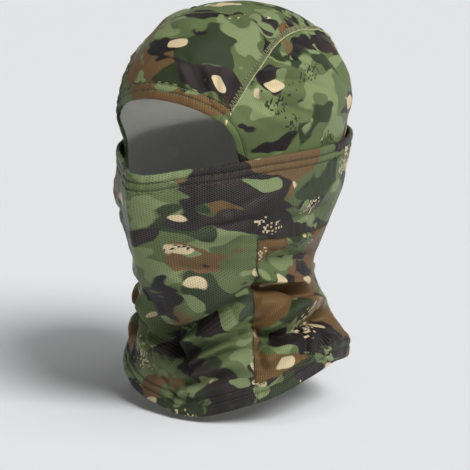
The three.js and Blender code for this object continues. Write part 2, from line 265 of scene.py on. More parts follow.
NECK_FOLDS = [
    (6, 2.5, [(50, 233), (72, 231), (92, 231), (118, 233)]),
    (5.5, -3.6, [(48, 244), (64, 247), (81, 250), (104, 253), (126, 254)]),
    (5, 5.0, [(46, 252), (54, 259), (66, 265), (80, 269), (98, 272), (124, 274)]),
    (3.6, -7.0, [(43, 266), (55, 269), (73, 273), (87, 279), (106, 284), (130, 287)]),
    (9, 4.0, [(48, 279), (57, 282), (68, 283), (82, 282)]),
    (6, 7.5, [(50, 304), (58, 298), (68, 292), (77, 289), (92, 288), (112, 291), (136, 294)]),
    (4, -7.5, [(44, 300), (52, 303), (60, 305), (67, 307), (80, 303), (96, 300), (114, 303), (134, 307)]),
    (3, -3.0, [(44, 295), (50, 296), (56, 294), (62, 290)]),
    (4, -4.5, [(49, 322), (53, 316), (58, 312), (66, 307)]),
    (7, 3.5, [(52, 328), (60, 321), (70, 315), (80, 312)]),
    (3.5, -3.5, [(84, 301), (83, 309), (80, 317), (76, 325), (72, 331)]),
    (8, -4.5, [(90, 303), (100, 301), (110, 303), (122, 307)]),
    (10, 4.5, [(88, 316), (98, 320), (112, 322), (134, 323)]),
]
FACE_FOLDS = [
    (5, 2.0, [(28, 212), (38, 203), (48, 197), (63, 190), (76, 186)]),
    (4, -1.8, [(30, 205), (40, 197), (50, 191), (64, 185)]),
    (4, 1.3, [(33, 200), (43, 192), (54, 187), (67, 183)]),
    (3, -2.0, [(18, 217), (30, 214), (39, 211), (48, 209), (60, 204)]),
    (5, 1.4, [(14, 225), (26, 222), (38, 219), (48, 217)]),
    (7, 1.6, [(60, 208), (78, 202), (96, 198), (116, 196)]),
    (5, -1.8, [(56, 216), (76, 213), (98, 210), (120, 209)]),
    (5, -1.4, [(66, 196), (80, 190), (98, 186), (116, 184)]),
    (7, -2.0, [(8, 244), (20, 250), (34, 250), (46, 244)]),
    (9, 1.6, [(4, 256), (18, 262), (32, 260), (46, 252)]),
]
NOSE_RIDGE = [(7, 2.4, [(-3, 176), (-3, 195), (-3, 215), (-4, 235), (-8, 258), (-12, 275)])]
BACK_FOLDS = [
    (9, 3.0, [(134, 244), (160, 248), (180, 250), (-160, 247), (-134, 243)]),
    (5, -4.4, [(132, 256), (160, 261), (180, 262), (-160, 260), (-132, 255)]),
    (7, 4.2, [(132, 268), (158, 274), (180, 276), (-160, 272), (-134, 268)]),
    (8, 5.0, [(142, 322), (160, 311), (180, 301), (196, 296)]),
    (5, -5.0, [(148, 330), (166, 318), (186, 308), (204, 302)]),
    (4, -3.0, [(168, 238), (174, 252), (176, 268)]),
]


def deeper(folds, scale):
    """The same lines, with their heights times scale."""
    return [(w, h * scale, line) for w, h, line in folds]


def unwrap(folds):
    """Angles past the back of the head are counted on past 180, so a line never jumps."""
    return [(w, h, [(a % 360 if abs(a) > 130 else a, s) for a, s in line]) for w, h, line in folds]


COVER_FOLDS = (deeper(CHIN_FOLDS, 1.4) + deeper(NECK_FOLDS, 1.4) + FACE_FOLDS + NOSE_RIDGE
               + unwrap(BACK_FOLDS) + mirrored(NECK_FOLDS, 0.85) + mirrored(FACE_FOLDS, 0.8)
               + mirrored(CHIN_FOLDS[7:12], 0.6))
HOOD_FOLDS = (BROW_GATHERS + CROWN_FOLDS + SIDE_HOOD_FOLDS
              + mirrored(BROW_GATHERS, 0.7) + mirrored(CROWN_FOLDS, 0.6) + mirrored(SIDE_HOOD_FOLDS, 0.9))


def ripple(points, seed, size, count=14):
    """A sum of sine waves in random directions, about `size` mm long: the unevenness of hanging knit."""
    rng = np.random.default_rng(seed)
    way = unit(rng.normal(size=(count, 3))) * (2 * np.pi / (size * rng.uniform(0.7, 1.6, (count, 1))))
    start = rng.uniform(0, 2 * np.pi, count)
    return sum(np.sin(points @ way[k] + start[k]) for k in range(count)) / np.sqrt(count)


# %% [markdown]
# ## Seams and hems on the plan
#
# The seam lines, the edges of the hems and the face opening are named curves on the flat plan. A hem's
# elastic is shorter than the cloth sewn to it, so the cloth beside it puckers in short waves that die away
# within a couple of centimetres. A flatlock seam stands up as a low flat band.

# %% Seam lines
# The first pairs a place from brow to nape with half the strip's width, the rest an angle with a reach.
STRIP_HALF_WIDTH = [[-120, 75], [-90, 77], [-60, 76], [-30, 72], [0, 69], [30, 62],
                    [60, 50], [100, 38], [130, 31], [168, 28], [262, 44]]
COVER_TOP = [[0, 177], [8, 174], [16, 171], [30, 168], [60, 163], [100, 162], [130, 160], [180, 157]]
BOTTOM_EDGE = [[0, 371], [25, 367], [50, 357], [75, 342], [100, 335], [180, 336]]
FACE_EDGE = [[32, 141.5], [36, 150], [40, 166], [42, 190], [42, 215], [38, 240], [32, 262]]
FACE_EDGE_INNER = [[34.3, 135.5], [40, 148], [44, 162], [47, 188], [47, 215], [43.5, 240], [38, 262]]
HEM = 14
BOTTOM_HEM = 15
HOOD_BOTTOM = 262
CROSS_SEAM = 227
NECK_SEAM = 48


def strip_edge(y):
    """Half the crown strip's width at y."""
    return through(STRIP_HALF_WIDTH, y)


def brow_line(x):
    """The brow's edge, a shallow parabola: y = -124 + 4 (x / 75)^2."""
    return -124 + 4 * (x / 75) ** 2


def cover_top(angle):
    """The cover's top edge. The hypotenuse rounds off the corner that an absolute angle would leave."""
    return through(COVER_TOP, np.hypot(angle, 5))


def bottom_edge(angle):
    """The hem's own line, plus slow waves where the flare has more cloth than it needs."""
    turn = np.radians(angle)
    return through(BOTTOM_EDGE, np.abs(angle)) + 1.5 * np.sin(3 * turn + 0.6) + 0.9 * np.sin(7 * turn)


# %% How the cloth lies, layer by layer
CLOTH = 0.9
HOOD_TUCK = 6.0


def flatlock(inside, width=4.8, height=0.9):
    """A flatlock seam: a low flat band on the crown's side, ending in a sharp step at the joint. inside is
    the distance across, negative on the band: height * rise of the band * fall of the step."""
    return height * fade(-width - 1.6, -width, inside) * (1 - fade(-0.2, 1.4, inside))


def pulled_seam(away, depth=0.9, width=1.3):
    """A plain seam pulls in and the cloth swells beside it: -depth e^-(d/w)^2 + 0.5 depth e^-(d/3w)^2."""
    return depth * (0.5 * np.exp(-((away / (3 * width)) ** 2)) - np.exp(-((away / width) ** 2)))


def puckers(along, away, spacing, depth, reach):
    """Waves beside a gathered edge: depth * sin(2 pi along / spacing + wander) * e^-(away / reach)."""
    wander = 0.9 * np.sin(along / (2.3 * spacing)) + 0.6 * np.sin(along / (3.7 * spacing) + 1)
    return depth * np.sin(2 * np.pi * along / spacing + 2.2 * wander) * np.exp(-np.abs(away) / reach)


def ear_fullness(angle):
    """Cloth bridges the hollow behind the ears: a bell curve of the angle, 3.2 mm high at 125 degrees."""
    return 3.2 * np.exp(-(((np.abs(angle) - 125) / 50) ** 2))


def hood_out(plan):
    """How far the hood's outer face lies off the form: the sum of a base, folds, ripples, the seam's band
    and puckers, less the tuck under the face cover."""
    angle, reach = polar(plan)
    points = form(plan)
    out = 1.3 + 1.6 * (1 - fade(50, 140, reach))
    out += ear_fullness(angle) * fade(40, 110, reach)
    out += 1.25 * fold_height(points, HOOD_FOLDS) + 0.3 * ripple(points, 3, 26) + 0.1 * ripple(points, 4, 9)
    across = np.abs(plan[..., 0]) - strip_edge(plan[..., 1])
    out += flatlock(across) + puckers(plan[..., 1], across, 10, 0.3, 7)
    brow_away = plan[..., 1] - brow_line(plan[..., 0]) - HEM
    in_front = plan[..., 1] < 0
    gather = 0.15 + 0.9 * np.exp(-(((np.abs(plan[..., 0]) - 52) / 14) ** 2))
    out += np.where(in_front, gather * puckers(plan[..., 0], brow_away, 7.5, 0.55, 9), 0)
    return out - HOOD_TUCK * fade(cover_top(angle) - 24, cover_top(angle) - 3, reach)


def cover_out(plan):
    """How far the cover's and the neck's outer face lies off the form: the sum of a base, folds, ripples
    and the pull of each hem and seam."""
    angle, reach = polar(plan)
    points = form(plan)
    out = 0.9 + ear_fullness(angle) * (1 - fade(215, 270, reach))
    cheek = np.exp(-(((np.abs(angle) - 55) / 28) ** 2))
    out += 3.5 * cheek * fade(176, 200, reach) * (1 - fade(245, 275, reach))
    out += 1.3 * fold_height(points, COVER_FOLDS)
    out += 0.4 * ripple(points, 7, 30) + 0.12 * ripple(points, 8, 9)
    arc = np.radians(angle) * HEAD_RADIUS
    out += puckers(arc, reach - cover_top(angle) - HEM, 11, 0.35, 12)
    out += puckers(arc, bottom_edge(angle) - BOTTOM_HEM - reach, 17, 0.45, 14)
    in_back = fade(NECK_SEAM - 3, NECK_SEAM, np.abs(angle))
    out += in_back * (pulled_seam(reach - CROSS_SEAM) + puckers(arc, reach - CROSS_SEAM, 9, 0.25, 6))
    below = fade(CROSS_SEAM - 3, CROSS_SEAM, reach)
    across = (np.abs(angle) - NECK_SEAM) * 1.2
    return out + below * (pulled_seam(across) + puckers(reach, across, 8, 0.35, 6))


def lay(plan, out):
    """The place in space of a plan point, lifted off the form by out."""
    return form(plan) + outward(plan) * np.asarray(out)[..., None]


# %% [markdown]
# ## Making meshes
#
# A panel is a grid of points over its outer face. Its inner face is the same grid moved in by the cloth's
# thickness, and a rim joins the two, so each piece is one closed skin. The grid's own corners become
# quads; a mask leaves cells out where the cut isn't a plain rectangle. Each corner also carries a place on
# the cloth in metres, its UV, so that print and knit follow the cloth and not the space around it. Which
# way the faces look is settled once, by the sign of the volume inside them.

# %% From grids to meshes
def add_object(name, data):
    """Wrap a mesh, light or camera in an object, and put it in the scene."""
    thing = bpy.data.objects.new(name, data)
    bpy.context.scene.collection.objects.link(thing)
    return thing


def to_mesh(name, points, faces, uv, slots, materials):
    """points in mm; faces (n, 4) with -1 for a missing corner; uv (n, 4, 2) in metres; slots (n,). The
    faces of a piece all turn the same way. If the volume inside, a sum of c0 . (c1 x c2 + c2 x c3) / 6,
    comes out negative, that way is inwards, and every face is turned round."""
    corner = points[np.where(faces < 0, faces[:, 2:3], faces)]
    area = np.cross(corner[:, 1], corner[:, 2]) + np.cross(corner[:, 2], corner[:, 3])
    if np.einsum("ij,ij->", corner[:, 0], area) < 0:
        faces, uv = faces[:, [1, 0, 3, 2]], uv[:, [1, 0, 3, 2]]
    mesh = bpy.data.meshes.new(name)
    sizes = (faces >= 0).sum(1)
    corners = faces[faces >= 0]
    mesh.vertices.add(len(points))
    mesh.vertices.foreach_set("co", (points * MM).astype(np.float32).ravel())
    mesh.loops.add(len(corners))
    mesh.loops.foreach_set("vertex_index", corners.astype(np.int32))
    mesh.polygons.add(len(faces))
    mesh.polygons.foreach_set("loop_start", (np.cumsum(sizes) - sizes).astype(np.int32))
    mesh.polygons.foreach_set("material_index", np.asarray(slots, np.int32))
    mesh.polygons.foreach_set("use_smooth", np.ones(len(faces), bool))
    layer = mesh.uv_layers.new(name="cloth")
    layer.data.foreach_set("uv", uv[faces >= 0].astype(np.float32).ravel())
    for material in materials:
        mesh.materials.append(material)
    mesh.update(calc_edges=True)
    mesh.validate()
    print(f"{name}: {len(faces)} faces")
    return add_object(name, mesh)


def cells(grid):
    """The four corners of each cell of a grid, in turning order."""
    return np.stack([grid[:-1, :-1], grid[:-1, 1:], grid[1:, 1:], grid[1:, :-1]], 2)


def panel(name, plan, out, uv, materials, thickness=CLOTH, keep=None):
    """A closed sheet: outer face at out(plan), inner face one thickness in along the cloth's own normal.
    If the first and last columns of the plan are the same line, they are joined."""
    outer = lay(plan, out(plan))
    ring = np.allclose(form(plan[0]), form(plan[-1]), atol=1e-3)
    columns = len(plan) - 1 if ring else len(plan)
    slope_u = np.gradient(outer, axis=0)
    slope_v = np.gradient(outer, axis=1)
    if ring:
        slope_u[0] = slope_u[-1] = (outer[1] - outer[-2]) / 2
    normal = unit(np.cross(slope_v, slope_u))
    if (normal * outward(plan)).sum() < 0:
        normal = -normal
    inner = outer - normal * thickness
    count = columns * plan.shape[1]
    index = np.arange(count).reshape(columns, -1)
    if ring:
        index = np.vstack([index, index[:1]])
    keep = np.ones((index.shape[0] - 1, index.shape[1] - 1), bool) if keep is None else keep
    face, face_uv = cells(index), cells(uv)
    around = np.pad(keep, 1)
    if ring:
        around[0, 1:-1], around[-1, 1:-1] = keep[-1], keep[0]
    near = {(0, 1): around[:-2, 1:-1], (2, 3): around[2:, 1:-1],
            (1, 2): around[1:-1, 2:], (3, 0): around[1:-1, :-2]}
    faces = [face[keep], face[keep][:, ::-1] + count]
    uvs = [face_uv[keep], face_uv[keep][:, ::-1]]
    for (a, b), kept in near.items():
        rim = keep & ~kept
        p, q = face[rim][:, a], face[rim][:, b]
        faces.append(np.stack([q, p, p + count, q + count], 1))
        pu, qu = face_uv[rim][:, a], face_uv[rim][:, b]
        uvs.append(np.stack([qu, pu, pu, qu], 1))
    slots = np.zeros(sum(len(group) for group in faces))
    slots[keep.sum():2 * keep.sum()] = 1
    points = np.concatenate([outer[:columns].reshape(-1, 3), inner[:columns].reshape(-1, 3)])
    used, faces = np.unique(np.concatenate(faces), return_inverse=True)
    return to_mesh(name, points[used], faces.reshape(-1, 4), np.concatenate(uvs), slots, materials)


def rope(name, points, uv, material, ring=False):
    """A closed profile carried along a line: points is (stations, profile, 3). The ends are closed by
    fans to their middle unless the line is a ring."""
    stations, size = points.shape[:2]
    index = np.arange(stations * size).reshape(stations, size)
    index = np.hstack([index, index[:, :1]])
    uv = np.concatenate([uv, uv[:, :1]], 1)
    if ring:
        index = np.vstack([index, index[:1]])
        uv = np.concatenate([uv, uv[:1] + 2 * uv[-1:] - uv[-2:-1] - uv[:1]], 0)
    face = cells(index).reshape(-1, 4)
    face_uv = cells(uv).reshape(-1, 4, 2)
    flesh = points.reshape(-1, 3)
    if not ring:
        ends = np.stack([points[0].mean(0), points[-1].mean(0)])
        low, high = len(flesh), len(flesh) + 1
        flesh = np.concatenate([flesh, ends])
        first, last = index[0], index[-1]
        blank = np.full(size, -1)
        fans = np.concatenate([np.stack([first[1:], first[:-1], np.full(size, low), blank], 1),
                               np.stack([last[:-1], last[1:], np.full(size, high), blank], 1)])
        face = np.concatenate([face, fans])
        face_uv = np.concatenate([face_uv, np.zeros((2 * size, 4, 2))])
    return to_mesh(name, flesh, face, face_uv, np.zeros(len(face)), [material])


# %% [markdown]
# ## Printed knit
#
# The cloth is white knit with the pattern printed on its outer side by heat transfer, so the inside stays
# pale with a ghost of the print. The pattern is a plain woodland one of this script's own: soft green
# ground, paler and darker green patches, brown ones, long dark branches, tan pebbles and tan patches, and
# groups of small square speckle. Each layer is a noise cut at a level, which gives crisp curved edges, and
# the layers cover each other as inks do.

# %% A short way to write shader nodes
class Nodes:
    """Adds nodes to a material by calls; any input may be a number, a colour or another node's output."""

    def __init__(self, name):
        self.material = bpy.data.materials.new(name)
        self.material.use_nodes = True
        self.tree = self.material.node_tree
        self.tree.nodes.clear()

    def add(self, kind, inputs=(), output=0, **settings):
        node = self.tree.nodes.new("ShaderNode" + kind)
        for key, value in settings.items():
            setattr(node, key, value)
        for key, value in dict(inputs).items():
            if isinstance(value, bpy.types.NodeSocket):
                self.tree.links.new(value, node.inputs[key])
            else:
                node.inputs[key].default_value = value
        return node.outputs[output] if node.outputs else node

    def math(self, operation, *values):
        """A Math node on numbers or outputs."""
        return self.add("Math", enumerate(values), operation=operation)

    def vector(self, operation, *values, output=0):
        """A Vector Math node; output 1 is the number that a dot product gives."""
        return self.add("VectorMath", enumerate(values), output=output, operation=operation)

    def mix(self, share, under, over):
        """under * (1 - share) + over * share. A Mix node keeps its colours in sockets 6 and 7, output 2."""
        return self.add("Mix", {0: share, 6: under, 7: over}, output=2, data_type="RGBA")


def ink(red, green, blue):
    """A screen colour of 0 to 255 parts as the linear colour that shaders use."""
    part = np.array([red, green, blue]) / 255
    linear = np.where(part <= 0.04045, part / 12.92, ((part + 0.055) / 1.055) ** 2.4)
    return (*linear.tolist(), 1.0)


GROUND = ink(92, 106, 66)
OLIVE = ink(71, 81, 50)
PALE_GREEN = ink(122, 135, 92)
DEEP_GREEN = ink(46, 57, 34)
BROWN = ink(106, 81, 50)
BRANCH = ink(34, 29, 29)
BARK = ink(58, 46, 44)
TAN = ink(208, 190, 152)
WHITE_KNIT = ink(244, 244, 238)


# %% The woodland print
def cut_at(n, rise, edge):
    """0 where rise is negative, then rise * edge, up to 1."""
    return n.add("Math", {0: rise, 1: edge}, operation="MULTIPLY", use_clamp=True)


def patches(n, where, scale, stretch, seed, level, detail=1.5, edge=60.0):
    """1 inside patches of noise that rise above level, 0 outside, with an edge 1/edge wide."""
    place = n.add("Mapping", {"Vector": where, "Location": (seed * 3.1, seed * 1.7, seed * 0.9),
                              "Scale": (scale / stretch, scale, scale)})
    noise = n.add("TexNoise", {"Vector": place, "Scale": 1.0, "Detail": detail, "Roughness": 0.45})
    return cut_at(n, n.math("SUBTRACT", noise, level), edge)


def pebbles(n, where, scale, stretch, seed, size, share):
    """Rounded dots in a share of the cells of an uneven grid, 0.45 to 1.45 of size in radius. Each cell's
    own random colour decides whether it has a dot, and how big."""
    place = n.add("Mapping", {"Vector": where, "Location": (seed * 2.3, seed, 0),
                              "Scale": (scale / stretch, scale, 1)})
    away = n.add("TexVoronoi", {"Vector": place, "Scale": 1.0, "Randomness": 1.0}, voronoi_dimensions="2D")
    chance = n.add("SeparateColor", {"Color": away.node.outputs["Color"]})
    other = chance.node.outputs[1]
    chosen = n.math("GREATER_THAN", chance, 1 - share)
    radius = n.math("MULTIPLY_ADD", other, size, size * 0.45)
    return n.math("MULTIPLY", chosen, cut_at(n, n.math("SUBTRACT", radius, away), 50.0))


def speckle(n, where, seed, level):
    """Small squares, 1.6 mm a side, switched on at random inside soft patches."""
    squares = n.vector("SNAP", where, (0.016, 0.016, 0.016))
    moved = n.vector("ADD", squares, (seed, seed, 0))
    dust = n.add("TexWhiteNoise", {"Vector": moved}, noise_dimensions="2D")
    zone = patches(n, where, 3.0, 1.5, seed, level, 1.0, 9.0)
    return n.math("LESS_THAN", dust, n.math("MULTIPLY", zone, 0.45))


def woodland(n, where, brown_level, dark_level, pebble_share):
    """The print's colour at a place on the cloth, in decimetres: each layer mixed over the one before."""
    bend = n.add("TexNoise", {"Vector": where, "Scale": 3.2, "Detail": 2.0}, output=1)
    bend = n.vector("SUBTRACT", bend, (0.5, 0.5, 0.5))
    bent = n.vector("MULTIPLY_ADD", bend, (0.26, 0.20, 0.0), where)
    color = n.mix(patches(n, bent, 2.0, 1.3, 11, 0.50, 1.0, 3.0), GROUND, OLIVE)
    color = n.mix(patches(n, bent, 3.7, 1.5, 2, 0.56), color, PALE_GREEN)
    color = n.mix(patches(n, bent, 3.8, 1.6, 3, 0.56), color, DEEP_GREEN)
    color = n.mix(patches(n, bent, 2.6, 1.4, 4, brown_level), color, BROWN)
    bark = n.mix(patches(n, bent, 4.0, 1.2, 12, 0.52, 1.0, 5.0), BRANCH, BARK)
    color = n.mix(patches(n, bent, 4.1, 2.1, 5, dark_level, 2.0), color, bark)
    color = n.mix(patches(n, bent, 5.5, 1.6, 9, 0.66, 1.0), color, PALE_GREEN)
    color = n.mix(speckle(n, where, 6, 0.60), color, DEEP_GREEN)
    color = n.mix(speckle(n, where, 8, 0.66), color, TAN)
    sand = patches(n, bent, 4.6, 1.2, 21, 0.70, 2.0)
    color = n.mix(n.math("MAXIMUM", pebbles(n, bent, 3.6, 1.9, 7, 0.135, pebble_share), sand), color, TAN)
    return n.mix(n.math("MULTIPLY", speckle(n, where, 3, 0.50), sand), color, BRANCH)


# %% [markdown]
# ## The knits
#
# The crown is a fine rib, the hood's sides a diagonal one, the face cover and front neck an open honeycomb
# mesh, and the back of the neck a finer rib. Each height is a sum of waves: one main wave for a rib, three at
# 60 degrees for a honeycomb. It drives bump and paints shade into the hollows, a little darker there. It also
# paints a little white onto the crests: yarn that shows through the ink, and partly a painted glint. The mesh
# is also darkened all over, as painted shade for its open holes. Such knit hardly shines: the roughness is
# middling, but the specular level is low, or edges seen at a grazing angle would turn white.

# %% Knit heights
def wave(n, where, pitch, degrees):
    """cos(2 pi d / pitch) of the distance d along a direction; where is in decimetres, pitch in mm."""
    turn = np.radians(degrees)
    rate = 2 * np.pi / (pitch / 100)
    along = n.vector("DOT_PRODUCT", where, (np.cos(turn) * rate, np.sin(turn) * rate, 0), output=1)
    return n.math("COSINE", along)


def honeycomb(n, where, pitch=1.5):
    """Three waves at 60 degrees, brought to 0 to 1; high at the holes' rims, low in the holes."""
    total = n.math("ADD", n.math("ADD", wave(n, where, pitch, 0), wave(n, where, pitch, 60)),
                   wave(n, where, pitch, 120))
    return n.add("MapRange", {"Value": total, "From Min": 3.0, "From Max": -1.0})


def rib(n, where, pitch, degrees):
    """A rib wave with a finer wave of stitches along it, brought to 0 to 1."""
    ribs = wave(n, where, pitch, degrees)
    loops = wave(n, where, pitch * 0.8, degrees + 90)
    total = n.math("MULTIPLY_ADD", loops, 0.35, ribs)
    return n.add("MapRange", {"Value": total, "From Min": -1.35, "From Max": 1.35})


def knit_cloth(name, height_of, offset, hollow_shade=0.16, bump=0.5, roughness=0.42, brown_level=0.60,
               dark_level=0.565, pebble_share=0.32, hole_shade_and_tone=1.0, grin_and_glint=0.025, ghost=0.0, glow=0.0):
    """One printed knit: woodland colour at the cloth's UV, with painted shade in the hollows, hollow_shade
    deep, and the knit as bump. hole_shade_and_tone scales the print's brightness: on the open mesh it is
    painted shade for its holes, spread over the whole cloth, and on the back neck it only darkens the print.
    grin_and_glint is
    how much white shows on the crests: yarn where the ink doesn't cover it, and partly a painted glint. ghost
    fades the print on the pale inner side, and glow lets light scatter through."""
    n = Nodes(name)
    uv = n.add("UVMap", uv_map="cloth")
    where = n.vector("MULTIPLY_ADD", uv, (10, 10, 10), (offset[0], offset[1], 0))
    color = woodland(n, where, brown_level, dark_level, pebble_share)
    if ghost:
        color = n.mix(ghost, WHITE_KNIT, color)
    height = height_of(n, where)
    # Painted shade: the print is darkened in the knit's hollows, and on the mesh all over for its open holes.
    shade = n.add("MapRange", {"Value": height, "To Min": hole_shade_and_tone * (1 - hollow_shade), "To Max": hole_shade_and_tone * 1.04})
    color = n.add("HueSaturation", {"Value": shade, "Color": color})
    # White on the crests: yarn that shows through the ink, and partly a painted glint on the knit's tops.
    crest = n.add("MapRange", {"Value": height, "From Min": 0.7, "To Max": grin_and_glint})
    color = n.mix(crest, color, WHITE_KNIT)
    fuzz = n.add("TexNoise", {"Vector": where, "Scale": 120.0, "Detail": 3.0})
    relief = n.math("MULTIPLY_ADD", fuzz, 0.3, height)
    normal = n.add("Bump", {"Strength": bump, "Distance": 0.0006, "Height": relief})
    gloss = n.add("MapRange", {"Value": relief, "To Min": roughness + 0.12, "To Max": roughness - 0.06})
    shader = n.add("BsdfPrincipled", {"Base Color": color, "Roughness": gloss, "Normal": normal,
                                      "Specular IOR Level": 0.12,
                                      "Sheen Weight": 0.02, "Sheen Roughness": 0.4,
                                      "Subsurface Weight": glow, "Subsurface Scale": 0.004,
                                      "Subsurface Radius": (1.0, 1.0, 0.9)})
    n.add("OutputMaterial", {"Surface": shader})
    return n.material


# %% The finishes
hood_knit = knit_cloth("hood_knit", lambda n, w: rib(n, w, 1.5, 0), (0.4, 2.0), dark_level=0.585,
                       pebble_share=0.24)
side_knit = knit_cloth("side_hood_knit", lambda n, w: rib(n, w, 1.6, -32), (3.3, 6.1), roughness=0.38,
                       brown_level=0.64, dark_level=0.61, pebble_share=0.03)
mesh_knit = knit_cloth("mesh_knit", honeycomb, (7.0, 4.4), hollow_shade=0.20, bump=0.6,
                       dark_level=0.548, pebble_share=0.40, hole_shade_and_tone=0.84, grin_and_glint=0.03)
back_knit = knit_cloth("back_neck_knit", lambda n, w: rib(n, w, 1.4, 0), (1.0, 9.3), roughness=0.38,
                       brown_level=0.415, dark_level=0.595, hole_shade_and_tone=0.9)
inner_knit = knit_cloth("inner_knit", lambda n, w: rib(n, w, 1.3, 0), (2.0, 2.0), hollow_shade=0.12, ghost=0.08,
                        roughness=0.75, grin_and_glint=0.0, glow=1.0)


def thread_finish(name, color, roughness=0.5):
    """Polyester thread: fine plies wound round it, drawn by waves along the thread's own length, as bump and
    as painted shade between the plies with painted light on their tops.
    """
    n = Nodes(name)
    uv = n.add("UVMap", uv_map="cloth")
    plies = wave(n, n.vector("MULTIPLY", uv, (10, 10, 10)), 0.5, 30)
    # Painted shade and light: the thread is darker between its plies and lighter on their tops.
    ply_shade_and_light = n.add("MapRange", {"Value": plies, "From Min": -1.0, "To Min": 0.75, "To Max": 1.1})
    shade = n.add("HueSaturation", {"Value": ply_shade_and_light, "Color": color})
    normal = n.add("Bump", {"Strength": 0.4, "Distance": 0.0002, "Height": plies})
    shader = n.add("BsdfPrincipled", {"Base Color": shade, "Roughness": roughness, "Normal": normal,
                                      "Sheen Weight": 0.05})
    n.add("OutputMaterial", {"Surface": shader})
    return n.material


thread = thread_finish("thread", ink(128, 130, 96), 0.6)
cord_thread = thread_finish("cord_thread", ink(170, 176, 122), 0.6)
dark_thread = thread_finish("dark_thread", ink(66, 66, 48), 0.65)
elastic_tape = thread_finish("elastic_tape", ink(206, 204, 196), 0.7)

# %% [markdown]
# ## The hood's three panels
#
# The crown strip runs from the brow hem over the head to the nape. Each side panel fills what is left: its
# grid is a patch between four edges (crown seam, face edge, hidden lower edge, back edge), blended so that
# all four are met exactly.

# %% Crown strip
def grid(columns, rows):
    """Two arrays that run from 0 to 1, one along the columns and one along the rows."""
    return np.meshgrid(np.linspace(0, 1, columns + 1), np.linspace(0, 1, rows + 1), indexing="ij")


def angle_uv(plan):
    """UV in metres: the angle times the head's mean radius, and the reach downwards."""
    angle, reach = polar(plan)
    return np.stack([np.radians(angle) * HEAD_RADIUS, -reach], -1) * MM


u, v = grid(110, 300)
side = 2 * u - 1
y = brow_line(75 * side) + HEM - 1 + v * (HOOD_BOTTOM - brow_line(75 * side) - HEM + 1)
crown_plan = np.stack([side * strip_edge(y), y], -1)
crown_panel = panel("crown_cloth", crown_plan, hood_out, crown_plan * [MM, -MM], [hood_knit, inner_knit])


# %% Side panels
def seam_at(t, first=-112, last=168):
    """The crown seam as (angle, reach), t from the brow to low on the back."""
    y = first + (last - first) * np.asarray(t)
    return np.stack(polar(np.stack([strip_edge(y), y], -1)), -1)


def between(a, b, t):
    """a + (b - a) t."""
    return a + (b - a) * np.asarray(t)[..., None]


def side_patch(u, v):
    """Coons patch: the two rulings added, less the corners' plane."""
    brow, nape = seam_at(0.0), seam_at(1.0)
    cheek, under = along_points(FACE_EDGE_INNER, 1.0), np.array([nape[0], HOOD_BOTTOM])
    face, back = along_points(FACE_EDGE_INNER, v), between(nape, under, v)
    face = face + (brow - along_points(FACE_EDGE_INNER, 0.0)) * (1 - v)[..., None] ** 4
    ruled = between(seam_at(u), between(cheek, under, u), v) + between(face, back, u)
    return ruled - between(between(brow, cheek, v), back, u)


u, v = grid(190, 120)
patch = side_patch(u, v)
side_plans = [flat(hand * patch[..., 0], patch[..., 1]) for _, hand in HANDS]
side_panels = [panel(f"side_cloth_{k}", plan, hood_out, angle_uv(plan), [side_knit, inner_knit])
               for (k, _), plan in zip(HANDS, side_plans)]

# %% [markdown]
# ## Folded hems
#
# A hem is the cloth's own edge turned in over an elastic and sewn down. Its profile starts on the outside
# at the stitch row, runs up to the fold, turns round it and comes down the inside: a thin U, open at its
# lower edge, with the elastic in the middle.

# %% Hem profile and hems
def fold_profile(width, thick, wall=0.8):
    """(across, in) pairs round a thin U: the outer wall to the fold, the inner wall back, then the same
    from inside. The bends are half circles, centre + radius * (-cos, sin)."""
    bend, centre = np.radians(np.linspace(-90, 90, 9)), thick / 2
    outer_arc = centre + centre * np.stack([-np.cos(bend), np.sin(bend)], 1)
    inner_arc = centre + (centre - wall) * np.stack([-np.cos(bend), -np.sin(bend)], 1)
    steps = np.linspace(width, centre + 0.4, 22)[:, None]
    walls = [np.hstack([steps, 0 * steps]), np.hstack([steps[::-1], 0 * steps + thick]),
             np.hstack([steps, 0 * steps + thick - wall]), np.hstack([steps[::-1], 0 * steps + wall])]
    return np.concatenate([walls[0], outer_arc, walls[1], walls[2], inner_arc, walls[3]])


def stitch_grooves(across, rows, depth=0.85, width=0.75):
    """Each stitch row pulls the cloth in: depth * e^-((across - row) / width)^2."""
    return -sum(depth * np.exp(-(((across - row) / width) ** 2)) for row in rows)


BROW_ROWS = COVER_ROWS = (6.5, 12.0)
BOTTOM_ROWS = (7.5, 13.0)


def hem_points(plan_at, stations, profile, out, rows, plump=0.5):
    """Stations along the hem times profile points: plan_at(t, across) lifted by the cloth's own height at
    the fold line, less the profile's depth."""
    t = np.linspace(0, 1, stations)[:, None]
    across = profile[None, :, 0] + 0 * t
    depth = profile[None, :, 1] + 0 * t
    plan = plan_at(t + 0 * across, across)
    face = depth < profile[:, 1].max() / 2
    puff = np.sin(np.pi * np.clip(across / rows[0], 0, 1))
    if len(rows) > 1:
        puff = puff + 0.7 * np.sin(np.pi * np.clip((across - rows[0]) / (rows[1] - rows[0]), 0, 1))
    swell = plump * puff + stitch_grooves(across, rows)
    return lay(plan, out(plan) + np.where(face, swell, 0) - depth), plan


BROW_HALF = 76.8


def brow_at(t, across):
    """Along the brow from the wearer's right to the left, a little way under both face edges."""
    x = BROW_HALF * (2 * t - 1)
    return np.stack([x, brow_line(x) + across], -1)


def cover_rim_at(t, across):
    """A band that hangs from the cover's top edge: angle = 360 t - 180, reach = edge + across."""
    angle = 360 * t - 180
    return flat(angle, cover_top(angle) + across)


def bottom_rim_at(t, across):
    """A band that stands on the bottom edge: angle = 360 t - 180, reach = edge - across."""
    angle = 360 * t - 180
    return flat(angle, bottom_edge(angle) - across)


